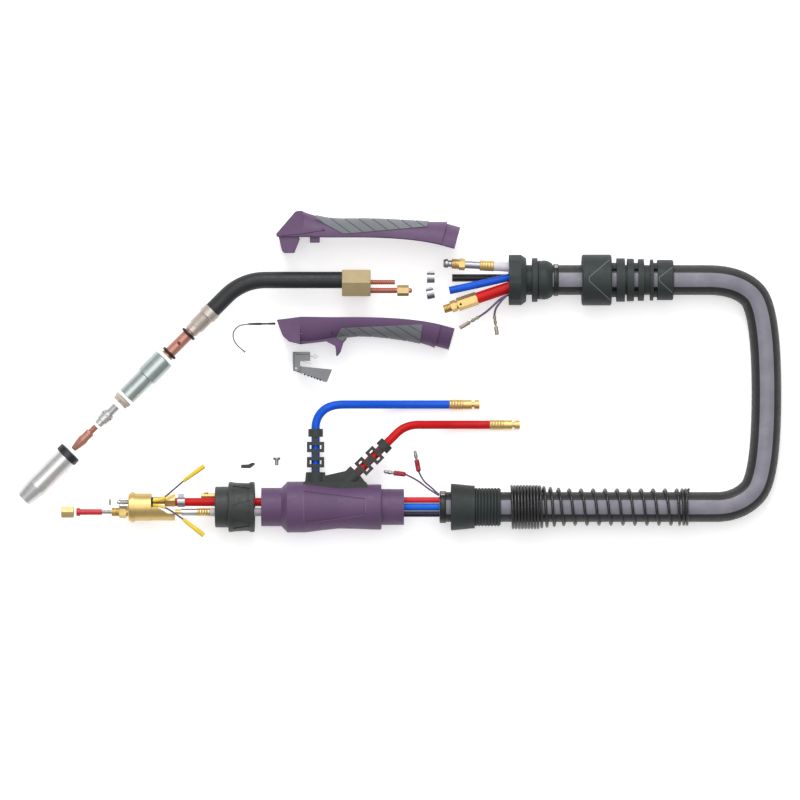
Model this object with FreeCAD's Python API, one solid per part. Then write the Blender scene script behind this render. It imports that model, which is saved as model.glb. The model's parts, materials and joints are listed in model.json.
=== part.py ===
import FreeCAD, Part
import math
import os

from FreeCAD import Vector

# A water-cooled MIG welding torch, laid out flat and drawn apart along its
# own axes.  +X runs from the machine connector towards the cable, +Y from the
# connector line up to the handle line and +Z up from the surface it lies on.
# The origin is the centre of the connector's locating flange.  All sizes are
# in millimetres.

# --- lines that the pieces share -------------------------------------------
HANDLE_Y = 227.0            # height of the line of the neck and the cable's top run
FLOOR_Z = -25.5             # the largest rings rest on the surface here
UP = Vector(0, 0, 1)
ALONG = Vector(1, 0, 0)

# --- neck ------------------------------------------------------------------
NECK_END = Vector(81.5, 197, 0)                 # front end of the black neck tube
NECK_OUT = Vector(-1, -1, 0).normalize()        # the front of the neck points this way
NECK_RADIUS = 8.35
NECK_BEND = 55.0                                # centre line radius of the swan bend
COLLAR_BORE = 5.85
SLEEVE_BORE = 8.35
SLEEVE_NOSE_RADIUS = 9.2
NOZZLE_BORE = 9.3
NOZZLE_RADIUS = 10.5
BLOCK_X = (211.0, 239.6)
BLOCK_Y = 224.0
BLOCK_FLATS = 26.4
BLOCK_RIDGE = 12.9                              # from its centre up to its ridge
PIPE_HIGH_Y = 224.8
PIPE_LOW_Y = 216.5

# --- handle, drawn with its halves together and then moved apart -------------
OPEN_UP = Vector(10, 44.1, 0)
OPEN_DOWN = Vector(10, -36.1, 0)
SHELL_WALL = 2.4
GRIP_RISE = 0.9                                 # the soft panels stand proud by this
GRIP_DEPTH = 1.0                                # and lie this deep in their pockets
GRIP_GAP = 0.03
GROOVE_COUNT = 8
GROOVE_PITCH = 13.7
GROOVE_WIDTH = 0.9
GROOVE_DEPTH = 0.65
SPIGOT_RADIUS = 22.0
SPIGOT_TILT = -15.5                             # degrees, the handle's rear end drops
CHEEK_HALF = 14.1                               # the upper nose fits inside the lower

# --- cable -----------------------------------------------------------------
CABLE_RADIUS = 15.0
CABLE_LOW_Z = FLOOR_Z + CABLE_RADIUS            # where the cable lies on the surface
CABLE_ROUTE = [
    (403.2, 227, 0), (546, 227, 0), (608, 227, -5.5), (636, 197, CABLE_LOW_Z),
    (636, 30, CABLE_LOW_Z), (608, 0, -5.5), (562, 0, 0), (308.5, 0, 0),
]

# --- water hoses -------------------------------------------------------------
HOSE_RADIUS = 4.25
PLUG_RADIUS = 5.1
PLUG_Z = FLOOR_Z + PLUG_RADIUS
BLUE_ROUTE = [
    (184.6, 29, 0), (184.6, 89, 0), (198.4, 102.5, 0), (228, 102.5, -5.5),
    (258, 102.5, -16), (288, 102.5, -21), (318.6, 102.5, PLUG_Z),
]
RED_ROUTE = [
    (219.5, 27.5, 0), (256.5, 64.5, 0), (274.2, 82.2, -4), (301, 82.2, -11.5),
    (330, 82.2, -19.5), (359, 82.2, PLUG_Z),
]

# --- loose tails of the cable at the handle end ------------------------------
TAIL_RADIUS = 3.8
LEAD_RADIUS = 0.9

# --- machine end ---------------------------------------------------------------
LINER_Y = -5.0              # line of the wire liner and the gas pipe
POWER_Y = 5.0               # line of the power hose
BARREL_RADIUS = 13.75
FLANGE_RADIUS = 15.3
HOUSING_RADIUS = 25.5
HOUSING_X = (130.4, 150.5, 156.4, 250.5, 273.0)
NUT_X = (84.2, 97.6, 123.7)
NUT_PADS = 8

made = {}


# --- shape helpers -------------------------------------------------------------
def add(name, *solids):
    """Keep the solids as the node called name."""
    made[name] = solids[0] if len(solids) == 1 else Part.makeCompound(list(solids))


def placed(shape, origin, direction):
    """The shape drawn along +X from the origin, moved to lie along direction."""
    turn = FreeCAD.Rotation(ALONG, direction)
    shape = shape.copy()
    shape.Placement = FreeCAD.Placement(origin, turn)
    return shape


def turned(outer, inner, origin, direction):
    """A turned piece from (distance, radius) points of its outside and its bore."""
    if inner:
        points = list(outer) + list(reversed(inner))
    else:
        points = [(outer[0][0], 0)] + list(outer) + [(outer[-1][0], 0)]
    corners = [Vector(s, r, 0) for s, r in points]
    face = Part.Face(Part.makePolygon(corners + corners[:1]))
    return placed(face.revolve(Vector(), ALONG, 360), origin, direction)


def grooved(start, end, crest, root, pitch):
    """Outline points of a thread drawn as rings, from start to end."""
    count = max(1, round((end - start) / pitch))
    step = (end - start) / count
    points = [(start, root)]
    for i in range(count):
        base = start + i * step
        points += [(base + 0.25 * step, crest), (base + 0.6 * step, crest)]
        points += [(base + 0.85 * step, root)]
    return points + [(end, root)]


def prism(sides, flats, start, end, bore, origin, direction, turn=0):
    """A nut: a regular prism measured across its flats, chamfered at both ends."""
    corner = flats / 2 / math.cos(math.pi / sides)
    angles = [turn + 2 * math.pi * i / sides for i in range(sides)]
    ring = [Vector(start, corner * math.cos(a), corner * math.sin(a)) for a in angles]
    body = Part.Face(Part.makePolygon(ring + ring[:1])).extrude(ALONG * (end - start))
    edge = (corner - flats / 2) * 0.8
    outer = [(start, flats / 2), (start + edge, corner + 0.01),
             (end - edge, corner + 0.01), (end, flats / 2)]
    body = body.common(turned(outer, [], Vector(), ALONG))
    if bore:
        body = body.cut(Part.makeCylinder(bore, end - start, ALONG * start, ALONG))
    return placed(body, origin, direction)


def round_path(route):
    """A wire of straight runs with the largest tangent arc at every point."""
    points = [Vector(*p) for p in route]
    edges, radii, here = [], [], points[0]
    for a, b, c in zip(points, points[1:], points[2:]):
        come, go = (b - a), (c - b)
        reach = 0.45 * min(come.Length, go.Length)
        turn = come.getAngle(go)
        come.normalize()
        go.normalize()
        enter, leave = b - come * reach, b + go * reach
        radius = reach / math.tan(turn / 2)
        inward = go - come
        inward.normalize()
        centre = b + inward * (radius / math.cos(turn / 2))
        edges.append(Part.LineSegment(here, enter).toShape())
        middle = centre - inward * radius
        edges.append(Part.Arc(enter, middle, leave).toShape())
        radii.append(round(radius, 1))
        here = leave
    edges.append(Part.LineSegment(here, points[-1]).toShape())
    return Part.Wire(edges), radii


def hose(route, radius, label=None):
    """A round hose swept along its route; its bends are printed when named."""
    wire, radii = round_path(route)
    start = Vector(*route[0])
    ring = Part.Wire(Part.makeCircle(radius, start, Vector(*route[1]) - start))
    solid = wire.makePipeShell([ring], True, False)
    if label:
        ratio = solid.Volume / (math.pi * radius ** 2 * wire.Length)
        print(f"{label}: length {wire.Length:.0f}, bends {radii}, volume ratio {ratio:.3f}")
    return solid


def rod(start, end, radius, end_radius=None):
    """A straight round rod or cone between two points."""
    axis = end - start
    if end_radius is None:
        return Part.makeCylinder(radius, axis.Length, start, axis)
    return Part.makeCone(radius, end_radius, axis.Length, start, axis)


def plate(points, low_z, high_z):
    """A flat piece with the given outline in X and Y, between two heights."""
    corners = [Vector(x, y, low_z) for x, y in points]
    return Part.Face(Part.makePolygon(corners + corners[:1])).extrude(UP * (high_z - low_z))


def block(x0, x1, y0, y1, z0, z1):
    """A box between two corners."""
    return Part.makeBox(x1 - x0, y1 - y0, z1 - z0, Vector(x0, y0, z0))


def fused(first, *others):
    """One solid of the pieces, with the seams between them removed."""
    return first.multiFuse(list(others)).removeSplitter()


def ear_clamp(start, end, bore, wall, ear, origin, direction):
    """A band round a hose, with a pinched ear that reaches out to the radius ear."""
    band = turned([(start, bore + wall), (end, bore + wall)],
                  [(start, bore), (end, bore)], Vector(), ALONG)
    tab = block(start + 0.8, end - 0.8, bore + wall / 2, ear, -2, 2)
    return placed(fused(band, tab), origin, direction)


# --- neck and its consumables ------------------------------------------------------
def neck_point(distance):
    """A point that far out from the end of the neck tube."""
    return NECK_END + NECK_OUT * distance


def make_neck():
    """The black neck tube, the brass block behind it and its two water pipes."""
    corner = Vector(NECK_END.x + HANDLE_Y - NECK_END.y, HANDLE_Y, 0)
    reach = NECK_BEND * math.tan(math.radians(22.5))
    enter, leave = corner + ALONG * reach, corner + NECK_OUT * reach
    middle = Vector(enter.x - NECK_BEND * math.sin(math.radians(22.5)),
                    HANDLE_Y - NECK_BEND * (1 - math.cos(math.radians(22.5))), 0)
    start = Vector(BLOCK_X[0], HANDLE_Y, 0)
    path = Part.Wire([Part.LineSegment(start, enter).toShape(),
                      Part.Arc(enter, middle, leave).toShape(),
                      Part.LineSegment(leave, NECK_END).toShape()])
    ring = Part.Wire(Part.makeCircle(NECK_RADIUS, start, ALONG))
    add("neck_tube", path.makePipeShell([ring], True, False))

    half = BLOCK_FLATS / 2
    ring = [Vector(BLOCK_X[0], BLOCK_Y + y, z) for y, z in
            ((0, BLOCK_RIDGE), (half, BLOCK_RIDGE / 2), (half, -BLOCK_RIDGE / 2),
             (0, -BLOCK_RIDGE), (-half, -BLOCK_RIDGE / 2), (-half, BLOCK_RIDGE / 2))]
    bar = Part.Face(Part.makePolygon(ring + ring[:1])).extrude(ALONG * (BLOCK_X[1] - BLOCK_X[0]))
    add("neck_block", bar.makeChamfer(0.5, [e for e in bar.Edges
                                            if abs(e.tangentAt(e.FirstParameter).x) < 0.5]))
    high = turned(grooved(0, 24.4, 2.4, 2.05, 2.0), [(0, 1.2), (24.4, 1.2)],
                  Vector(BLOCK_X[1], PIPE_HIGH_Y, 0), ALONG)
    low_outer = grooved(0, 26, 2.8, 2.4, 2.0) + [(26.4, 2.4), (40, 2.4), (41.4, 1.9)]
    low = turned(low_outer, [(0, 1.4), (41.4, 1.4)],
                 Vector(BLOCK_X[1], PIPE_LOW_Y, 0), ALONG)
    add("neck_pipes", high, low)
    add("neck_pipe_nut", prism(6, 9.6, 26.6, 38.2, 2.42,
                               Vector(BLOCK_X[1], PIPE_LOW_Y, 0), ALONG))


def make_neck_front():
    """The collar, copper tube and seals on the front of the neck."""
    outer = [(0, 9.2), (8.2, 9.2), (9, 8.15)] + grooved(9.6, 24, 8.15, 7.7, 1.8)
    outer += [(24.2, 7.0), (30, 7.0), (30.7, 6.6)]
    add("neck_collar", turned(outer, [(0, COLLAR_BORE), (30.7, COLLAR_BORE)],
                              NECK_END, NECK_OUT))
    tube = turned([(0.2, 5.8), (63.3, 5.8), (63.3, 6.6), (64.8, 6.6)],
                  [(0.2, 4.35), (64.8, 4.35)], NECK_END, NECK_OUT)
    port = Part.makeCylinder(1.7, 12, neck_point(47), UP)
    add("neck_inner_tube", tube.cut(port))
    seals = [placed(Part.makeTorus(7.0, 1.15, ALONG * s, ALONG), NECK_END, NECK_OUT)
             for s in (33.9, 61.0)]
    add("neck_o_rings", *seals)


def make_consumables():
    """Sleeve, insulating ring, tip adaptor, contact tip and gas nozzle."""
    add("neck_sleeve", turned(
        [(68.3, 10.2), (68.9, 10.8), (93.5, 10.8), (94.3, SLEEVE_NOSE_RADIUS),
         (121.3, SLEEVE_NOSE_RADIUS), (121.7, 8.9)],
        [(68.3, SLEEVE_BORE), (121.7, SLEEVE_BORE)], NECK_END, NECK_OUT))

    ring = turned([(125, 9.1), (128.4, 9.1), (128.4, 8.2), (131.5, 8.2)],
                  [(125, 6.9), (128, 6.9), (128, 4.6), (131.5, 4.6)], NECK_END, NECK_OUT)
    teeth = [Part.makeBox(3.4, 3.2, 20, Vector(128.4, -1.6, -10))]
    teeth.append(Part.makeBox(3.4, 20, 3.2, Vector(128.4, -10, -1.6)))
    notches = [placed(t.cut(Part.makeCylinder(6.6, 4, ALONG * 128.2, ALONG)),
                      NECK_END, NECK_OUT) for t in teeth]
    add("insulating_ring", ring.cut(Part.makeCompound(notches)))

    outer = grooved(136, 145.4, 4.25, 3.85, 1.3)
    outer += [(145.8, 6.2), (156.4, 6.2), (157, 4.6), (161.4, 4.6), (162, 4.3)]
    body = turned(outer, [(136, 1.6), (152.8, 1.6), (153, 3.25), (162, 3.25)],
                  NECK_END, NECK_OUT)
    holes = []
    for angle in range(0, 360, 60):
        way = FreeCAD.Rotation(NECK_OUT, angle).multVec(UP)
        holes.append(Part.makeCylinder(1.1, 4.6, neck_point(149.5) + way * 2.5, way))
    flats = [block(154, 156.2, side * 5.6 - 1.5, side * 5.6 + 1.5, -7, 7)
             for side in (-1.25, 1.25)]
    flats = [placed(f, NECK_END, NECK_OUT) for f in flats]
    add("tip_adaptor", body.cut(Part.makeCompound(holes + flats)))

    outer = grooved(164.7, 172.4, 3.15, 2.8, 1.1)
    outer += [(172.7, 4.3), (174.2, 4.95), (184.5, 4.95), (189.5, 4.3), (196.2, 2.8), (197, 2.3)]
    tip = turned(outer, [(164.7, 0.6), (197, 0.6)], NECK_END, NECK_OUT)
    wrench = [placed(block(174.6, 181.6, side * 5.3 - 1, side * 5.3 + 1, -6, 6),
                     NECK_END, NECK_OUT) for side in (-1, 1)]
    add("contact_tip", tip.cut(Part.makeCompound(wrench)))

    add("nozzle", turned(
        [(200.9, NOZZLE_RADIUS), (249.6, NOZZLE_RADIUS), (267.2, 7.9), (267.6, 7.5)],
        [(200.9, NOZZLE_BORE), (249.6, NOZZLE_BORE), (267.6, 6.5)], NECK_END, NECK_OUT))
    add("nozzle_ring", turned(
        [(200.6, 11.6), (201.4, 12.15), (207.4, 12.15), (208, 11.2)],
        [(200.6, 10.55), (208, 10.55)], NECK_END, NECK_OUT))


# --- handle ---------------------------------------------------------------------
# Stations along the closed handle: place on the parting line, tilt in degrees,
# height above the line, depth below it, half width.
GRIP = [
    (159, 226.2, 0, 26.3, 27.2, 17.0),
    (175, 226.0, 0, 21.2, 26.0, 17.5),
    (194, 225.8, 0, 18.3, 22.0, 18.0),
    (212, 225.9, 0, 18.0, 19.0, 18.5),
    (244, 225.2, -2, 18.2, 19.4, 19.0),
    (276, 222.6, -9, 19.2, 21.4, 20.5),
    (300, 218.2, SPIGOT_TILT, 24.0, 24.0, 23.6),
]
ARCH_POINTS = 11
ARCH_POWER = 2.3


def arch(station, side, shrink, drop):
    """A closed arch wire at one station, above (side 1) or below (side -1) the line."""
    x, y, tilt, rise, depth, half = station
    height = (rise if side > 0 else depth) - shrink
    half = half - shrink
    lean = math.radians(tilt)
    up = Vector(-math.sin(lean), math.cos(lean), 0) * side
    foot = Vector(x, y, 0) - up * drop
    points = []
    for i in range(ARCH_POINTS):
        angle = math.pi * i / (ARCH_POINTS - 1)
        across = math.copysign(abs(math.cos(angle)) ** (2 / ARCH_POWER), math.cos(angle))
        over = math.sin(angle) ** (2 / ARCH_POWER)
        points.append(foot + UP * (half * across) + up * ((height + drop) * over))
    curve = Part.BSplineCurve()
    curve.interpolate(points)
    return Part.Wire([curve.toShape(), Part.LineSegment(points[-1], points[0]).toShape()])


def half_handle(side, shrink=0.0, drop=0.0):
    """The solid half of the grip above or below the parting line."""
    return Part.makeLoft([arch(s, side, shrink, drop) for s in GRIP], True, False)


def spigot_half(side, radius, start, end):
    """Half a cylinder on the handle's tilted rear axis."""
    x, y, tilt = GRIP[-1][:3]
    tube = Part.makeCylinder(radius, end - start, ALONG * start, ALONG)
    low_y = 0 if side > 0 else -60
    half = tube.common(block(start - 1, end + 1, low_y, low_y + 60, -30, 30))
    half.Placement = FreeCAD.Placement(Vector(x, y, 0), FreeCAD.Rotation(UP, tilt))
    return half


def make_upper_shell():
    """The upper half of the handle, with the nose that straddles the neck."""
    nose = [(135.4, 228.7), (154.5, 250.8), (157, 251.6), (162, 251.5), (162, 226.35),
            (135.8, 226.35)]
    cheek = [(137, 230), (157, 230), (158.6, 224), (153.2, 210.3), (143, 210),
             (141.1, 211.9)]
    outer = fused(half_handle(1), spigot_half(1, SPIGOT_RADIUS, -0.2, 14),
                  plate(nose, -16.6, 16.6), plate(cheek, -CHEEK_HALF, CHEEK_HALF))
    tabs = [block(169, 178.6, 220.5, 229, 11.8, 14.6), block(169, 178.6, 226.8, 229, 11.8, 16.2),
            block(169, 178.6, 220.5, 229, -14.6, -11.8), block(169, 178.6, 226.8, 229, -16.2, -11.8)]
    hollow = half_handle(1, SHELL_WALL, 1.0)
    bore = spigot_half(1, SPIGOT_RADIUS - SHELL_WALL, -3, 15)
    neck_slot = [block(130, 167, 205, HANDLE_Y, -8.9, 8.9),
                 Part.makeCylinder(8.9, 37, Vector(130, HANDLE_Y, 0), ALONG),
                 block(130, 167, 205, 221.4, -11.4, 11.4)]
    shell = outer.cut(hollow).cut(bore)
    for tool in neck_slot:
        shell = shell.cut(tool)
    shell = fused(shell, *tabs)
    shell.translate(OPEN_UP)
    add("upper_shell", shell)


def make_lower_shell():
    """The lower half of the handle, with the trigger slot and the finger spur."""
    front = [(136, 223.2), (138.6, 215.5), (142.4, 206.6), (148.1, 201.5), (159.2, 198.8),
             (159.2, 226.1), (148.8, 224.7)]
    spur = [(192, 205), (196.6, 187.1), (199.6, 191), (202.3, 200.1), (206, 204.5),
            (212, 208.5), (192, 209)]
    outer = fused(half_handle(-1), spigot_half(-1, SPIGOT_RADIUS, -0.2, 14),
                  plate(front, -17, 17), plate(spur, -9, 9))
    hollow = half_handle(-1, SHELL_WALL, 1.0)
    bore = spigot_half(-1, SPIGOT_RADIUS - SHELL_WALL, -3, 15)
    mouth = block(130, 162, 209.4, 230, -14.5, 14.5)
    trigger_slot = block(150.5, 193.8, 185, 216, -7.2, 7.2)
    shell = outer.cut(hollow).cut(bore).cut(mouth).cut(trigger_slot)
    shell.translate(OPEN_DOWN)
    add("lower_shell", shell)


def grip_panel(side, rise, depth, outline):
    """The skin of one half inside an outline, from rise above it to depth below it."""
    skin = half_handle(side, -rise, 0).cut(half_handle(side, depth, 2))
    return skin.common(plate(outline, -40, 40))


def grip_grooves(side):
    """Slanted slots, cut only as deep as the outer part of a grip's skin."""
    skin = half_handle(side, -GRIP_RISE - 1, 0).cut(half_handle(side, GROOVE_DEPTH - GRIP_RISE, 2))
    level, lean = (238, -11.6) if side > 0 else (210, -9.5)
    slots = []
    for i in range(GROOVE_COUNT):
        x = 184 + GROOVE_PITCH * i
        line = [(x - 15.8, level - lean), (x - 15.8 + GROOVE_WIDTH, level - lean),
                (x + 15.8 + GROOVE_WIDTH, level + lean), (x + 15.8, level + lean)]
        slots.append(skin.common(plate(line, -40, 40)))
    return slots


def make_grips():
    """Soft grip panels laid into shallow pockets of the shells."""
    upper = [(175.6, 250), (174.5, 243.8), (201.7, 229.1), (208, 229.1), (285.9, 236.1),
             (290, 250)]
    lower = [(200.4, 214.9), (195.3, 206), (197, 203), (203, 195), (278.2, 195),
             (281.4, 218.7)]
    for side, name, outline, move in ((1, "upper", upper, OPEN_UP), (-1, "lower", lower, OPEN_DOWN)):
        panel = grip_panel(side, GRIP_RISE, GRIP_DEPTH, outline)
        pocket = grip_panel(side, 3, GRIP_DEPTH + GRIP_GAP, outline)
        for slot in grip_grooves(side):
            panel = panel.cut(slot)
        panel.translate(move)
        pocket.translate(move)
        add(name + "_grip", *panel.Solids)
        add(name + "_shell", made[name + "_shell"].cut(pocket))


def make_hook():
    """The bent steel hook that hangs the torch up, with its two dark ends."""
    z = 9.9
    straight = [(141, 183.2, z), (117, 182.8, z), (108, 181.4, z), (102.6, 175.6, z),
                (102.2, 168.6, z), (106, 161.8, z), (112, 156.8, z)]
    add("neck_hook", hose(straight, 0.7),
        rod(Vector(141.05, 183.2, z), Vector(144.6, 183.2, z), 0.9),
        rod(Vector(112.05, 156.75, z), Vector(114.6, 154.6, z), 0.9))


def make_switch():
    """The trigger switch: moulded body, pivot pin, lever, leaf spring and eye."""
    pivot = Vector(165, 138.7, 0)
    outline = [(161.7, 155.3), (179.1, 155.3), (179.1, 146), (161.7, 146)]
    body = plate(outline, -6.2, 6.2)
    ears = [plate([(161.7, 146.1), (169.2, 146.1), (168.6, 135.8), (162.4, 135.8)], z, z + 1.6)
            for z in (-6.2, 4.6)]
    groove = block(161.6, 179.2, 152.4, 152.9, 5.9, 6.3)
    axle = Part.makeCylinder(1.15, 14, Vector(pivot.x, pivot.y, -7), UP)
    add("switch_body", fused(body, *ears).cut(groove).cut(axle))
    add("trigger_pin", Part.makeCylinder(1.13, 12.2, Vector(pivot.x, pivot.y, -6.1), UP))

    hub = Part.makeCylinder(3.0, 8.4, Vector(pivot.x, pivot.y, -4.2), UP)
    teeth = []
    steps = 6
    for i in range(steps):
        a, b = i / steps, (i + 0.55) / steps
        teeth += [(191.9 - 20.6 * a, 125.5 + 7.6 * a), (191.9 - 20.6 * b, 126.7 + 7.6 * b)]
    wide = plate([(170.4, 140.6), (201.1, 137.5), (195.8, 124.7)] + teeth + [(170.4, 133.1)],
                 -6, 6)
    arm = plate([(165, 141.6), (171, 140.6), (171, 133.1), (164.6, 135.8)], -4.2, 4.2)
    bore = Part.makeCylinder(1.2, 14, Vector(pivot.x, pivot.y, -7), UP)
    add("trigger_lever", fused(wide, arm, hub).cut(bore))

    leaf = plate([(171, 145.9), (171, 145.3), (181, 142.6), (181.3, 143.2),
                  (172.5, 145.9)], -2.5, 2.5)
    eye = Part.makeCylinder(2.2, 1, Vector(184.6, 150.6, -0.5), UP)
    tongue = block(179.2, 184, 149.7, 151.5, -0.5, 0.5)
    hole = Part.makeCylinder(1.1, 3, Vector(184.6, 150.6, -1.5), UP)
    add("switch_contacts", leaf, fused(eye, tongue).cut(hole))


# --- handle end of the cable ---------------------------------------------------
def make_hose_clamps():
    """Two small ear clamps waiting for the neck's pipes."""
    add("hose_clamps",
        ear_clamp(0, 7.6, 4.4, 0.8, 6.3, Vector(296, 229.2, 0), ALONG),
        ear_clamp(0, 7.6, 4.4, 0.8, 6.3, Vector(295.6, 212.6, 0),
                  Vector(math.cos(0.2), math.sin(0.2), 0)))


def make_gas_tail():
    """The wire conduit and gas hose with its nipple, nut and crimp."""
    start, line = Vector(312.4, 243.5, 7), Vector(65.4, -3.6, -2).normalize()
    pipe = turned([(0, 3.6), (2, 4.4), (4.2, 4.4), (5, 3.3), (7.8, 3.3), (8.2, 3.75),
                   (38, 3.75)], [(0, 1.6), (38, 1.6)], start, line)
    add("conduit_pipe", pipe)
    nut = turned([(8.4, 4.7)] + grooved(8.6, 15, 5.1, 4.6, 1.5)[1:] + [(15.3, 4.6)],
                 [(8.4, 3.78), (15.3, 3.78)], start, line)
    collar = prism(6, 10.2, 15.3, 21.6, 3.78, start, line)
    crimp = turned(grooved(36.4, 50.4, 5.3, 5.0, 2.8), [(36.4, 3.78), (38, 3.78), (38, 2),
                                                        (50.4, 2)], start, line)
    add("conduit_fittings", fused(nut, collar), crimp)
    add("gas_hose", rod(start + line * 50.5, start + line * 73, 4.75))


def make_tails():
    """Water hoses, power hose and switch leads that fan out of the cable's end."""
    add("return_hose", hose([(321.2, 229.2, -8), (352, 229.4, -8), (384, 229.2, -9)],
                            TAIL_RADIUS, "return_hose"))
    add("blue_hose_tail", hose([(318.4, 216.4, 2.5), (350, 223, 2), (384, 231, -0.4)],
                               TAIL_RADIUS, "blue_hose_tail"))
    start, line = Vector(312.9, 197.6, 0), Vector(65, 21.9, 2).normalize()
    stub = turned(grooved(0, 7.4, 4.3, 3.9, 1.4), [(0, 2), (7.4, 2)], start, line)
    nut = prism(6, 10.2, 7.4, 13.6, 2, start, line)
    body = prism(6, 11.8, 14.4, 35.2, 2, start, line)
    neck = turned([(13.4, 4.4), (14.6, 4.4)], [(13.4, 2), (14.6, 2)], start, line)
    add("power_fitting", fused(stub, nut, neck, body))
    add("power_hose", rod(start + line * 35.3, start + line * 75, 5.75))

    leads = []
    for route, tip in ((((372, 209.5, 7), (364, 200.5, 7), (355, 194.2, 6.4), (347.6, 190.5, 6)),
                        (328.8, 179, 6)),
                       (((375, 208.5, 9.5), (367.5, 203, 9.8), (363.6, 196.5, 10),
                         (363.2, 190.8, 10)), (366, 172, 10))):
        leads.append(hose(route, LEAD_RADIUS))
        begin, finish = Vector(*route[-1]), Vector(*tip)
        along = (finish - begin)
        leads.append(turned([(0.05, 1.6), (8, 1.6), (8.5, 1.2), (10, 1.2), (10.5, 1.9),
                             (along.Length, 1.7)], [], begin, along.normalize()))
    add("switch_leads", *leads)


def make_knuckle():
    """The faceted knuckle nut and the ball piece that it turns on."""
    nut = prism(12, 50.4, 0, 17.2, 0, Vector(377.8, HANDLE_Y, 0), ALONG, math.pi / 12)
    cone = turned([(377.8, 25.5), (389.6, 25.5), (395, 21.8)], [],
                  Vector(0, HANDLE_Y, 0), ALONG)
    bore = turned([(377, 21.7), (391, 21.7), (391, 15.1), (396, 15.1)], [],
                  Vector(0, HANDLE_Y, 0), ALONG)
    add("knuckle_nut", nut.common(cone).cut(bore))
    ribs = []
    for i in range(4):
        base, crest = 407 + 3.6 * i, 19.5 - i
        ribs += [(base, crest), (base + 2.2, crest - 0.4), (base + 2.2, crest - 1.4),
                 (base + 3.6, crest - 1.4)]
    outer = [(388.6, 16.8), (390.7, 16.8), (390.7, 15), (401, 15), (401, 22), (406.4, 22)]
    add("knuckle_ball", turned(outer + ribs,
                               [(388.6, 13), (403, 13), (403, 15.05), (421.4, 15.05)],
                               Vector(0, HANDLE_Y, 0), ALONG))


def make_front_support():
    """The rubber cable support with its slotted bend relief."""
    outer = [(450.7, 24.2), (452, 25.5), (479, 25.5), (480.3, 24.4), (480.3, 17.2)]
    discs = [(485.4, 493.6, 21.8), (496, 502.6, 21.4), (507, 512.7, 21), (519, 522, 20.6)]
    for start, end, radius in discs:
        outer += [(start, 17.2), (start, radius), (end, radius), (end, 17.2)]
    outer += [(526.2, 17.2), (526.2, 20.2), (540.8, 20.2), (542, 19.4)]
    inner = [(450.7, 22.8), (458.2, 22.8), (458.2, 20.8), (478.2, 20.8), (478.2, 15.4),
             (502, 15.4), (542, 16.3)]
    support = turned(outer, inner, Vector(0, HANDLE_Y, 0), ALONG)
    windows = []
    for i, (start, end) in enumerate([(480.4, 485.3), (493.7, 495.9), (502.7, 506.9),
                                      (512.8, 518.9), (522.1, 526.1)]):
        size = (11, 40) if i % 2 == 0 else (40, 11)
        windows.append(block(start, end, HANDLE_Y - size[0], HANDLE_Y + size[0],
                             -size[1], size[1]))
    add("front_cable_support", support.cut(Part.makeCompound(windows)))


def make_cable():
    """The main cable and the two band clamps at its ends."""
    add("main_cable", hose(CABLE_ROUTE, CABLE_RADIUS, "main_cable"))
    add("cable_clamps",
        ear_clamp(0, 5.1, 15.05, 0.9, 19.6, Vector(422.2, HANDLE_Y, 0), ALONG),
        ear_clamp(0, 6.3, 15.05, 0.9, 19.6, Vector(308.7, 0, 0), ALONG))


# --- machine end of the cable ----------------------------------------------------
def make_rear_tails():
    """Hoses and bullet leads that leave the cable's lower end."""
    add("rear_hoses",
        rod(Vector(308.4, 7, 0), Vector(269, 7, 0), 2.9),
        rod(Vector(308.4, 0, 0), Vector(269, 0, 0), 3.8),
        rod(Vector(308.4, -7, 0), Vector(269, -7, 0), 2.9))
    leads = []
    for route, sleeve, tip in (
            (((307.9, 11.6, 3), (298, 17.5, 3.6), (286, 27.5, 4), (274.4, 32.7, 4)),
             (262.6, 34.1, 4), (252.8, 35.4, 4)),
            (((307.9, 12.4, -2), (300.5, 19.5, -2), (291.5, 26.5, -2), (287.7, 35.6, -2)),
             (285.6, 47.3, -2), (283.8, 56.5, -2))):
        leads.append(hose(route, LEAD_RADIUS))
        points = [Vector(*p) for p in (route[-1], sleeve, tip)]
        leads.append(rod(points[0], points[1], 2.5))
        leads.append(rod(points[1], points[2], 1.9, 1.5))
    add("bullet_leads", *leads)


def make_rear_collar():
    """The threaded collar and the spring guard that screws onto it."""
    outer = [(319.8, 22.6), (320.8, 23.5), (341, 21.5), (343.7, 21.5)]
    outer += grooved(343.8, 369.4, 19.2, 18.2, 3.4) + [(369.6, 18.2)]
    inner = [(319.8, 20.4), (341, 20.4), (341, 15.4), (369.6, 15.4)]
    add("rear_collar", turned(outer, inner, Vector(), ALONG))
    rings = grooved(379, 410, 22.0, 20.6, 3.0) + [(410.5, 20.4), (434, 18.4)]
    rings += grooved(436, 545, 18.6, 17.3, 12.2)
    rings += grooved(548, 559, 18.6, 17.5, 3.2)
    add("spring_guard", turned(rings, [(379, 19.5), (411, 19.5), (435, 16.4), (559, 16.4)],
                               Vector(), ALONG))


def housing_outline(shrink):
    """Outside of the housing's body, waisted in the middle."""
    x0, x1, x2, x3, x4 = HOUSING_X
    body = [(x2, HOUSING_RADIUS), (x2 + 18, HOUSING_RADIUS), (190, 23.5), (207, 21.6),
            (225, 21.9), (240, 22.6), (x3 - 1, 22.7), (x3, 21.9)]
    outline = [(x0, 19.25), (x1, 19.25)] + body + [(x3, 18), (x4, 18)]
    return [(x, r - shrink) for x, r in outline]


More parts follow.
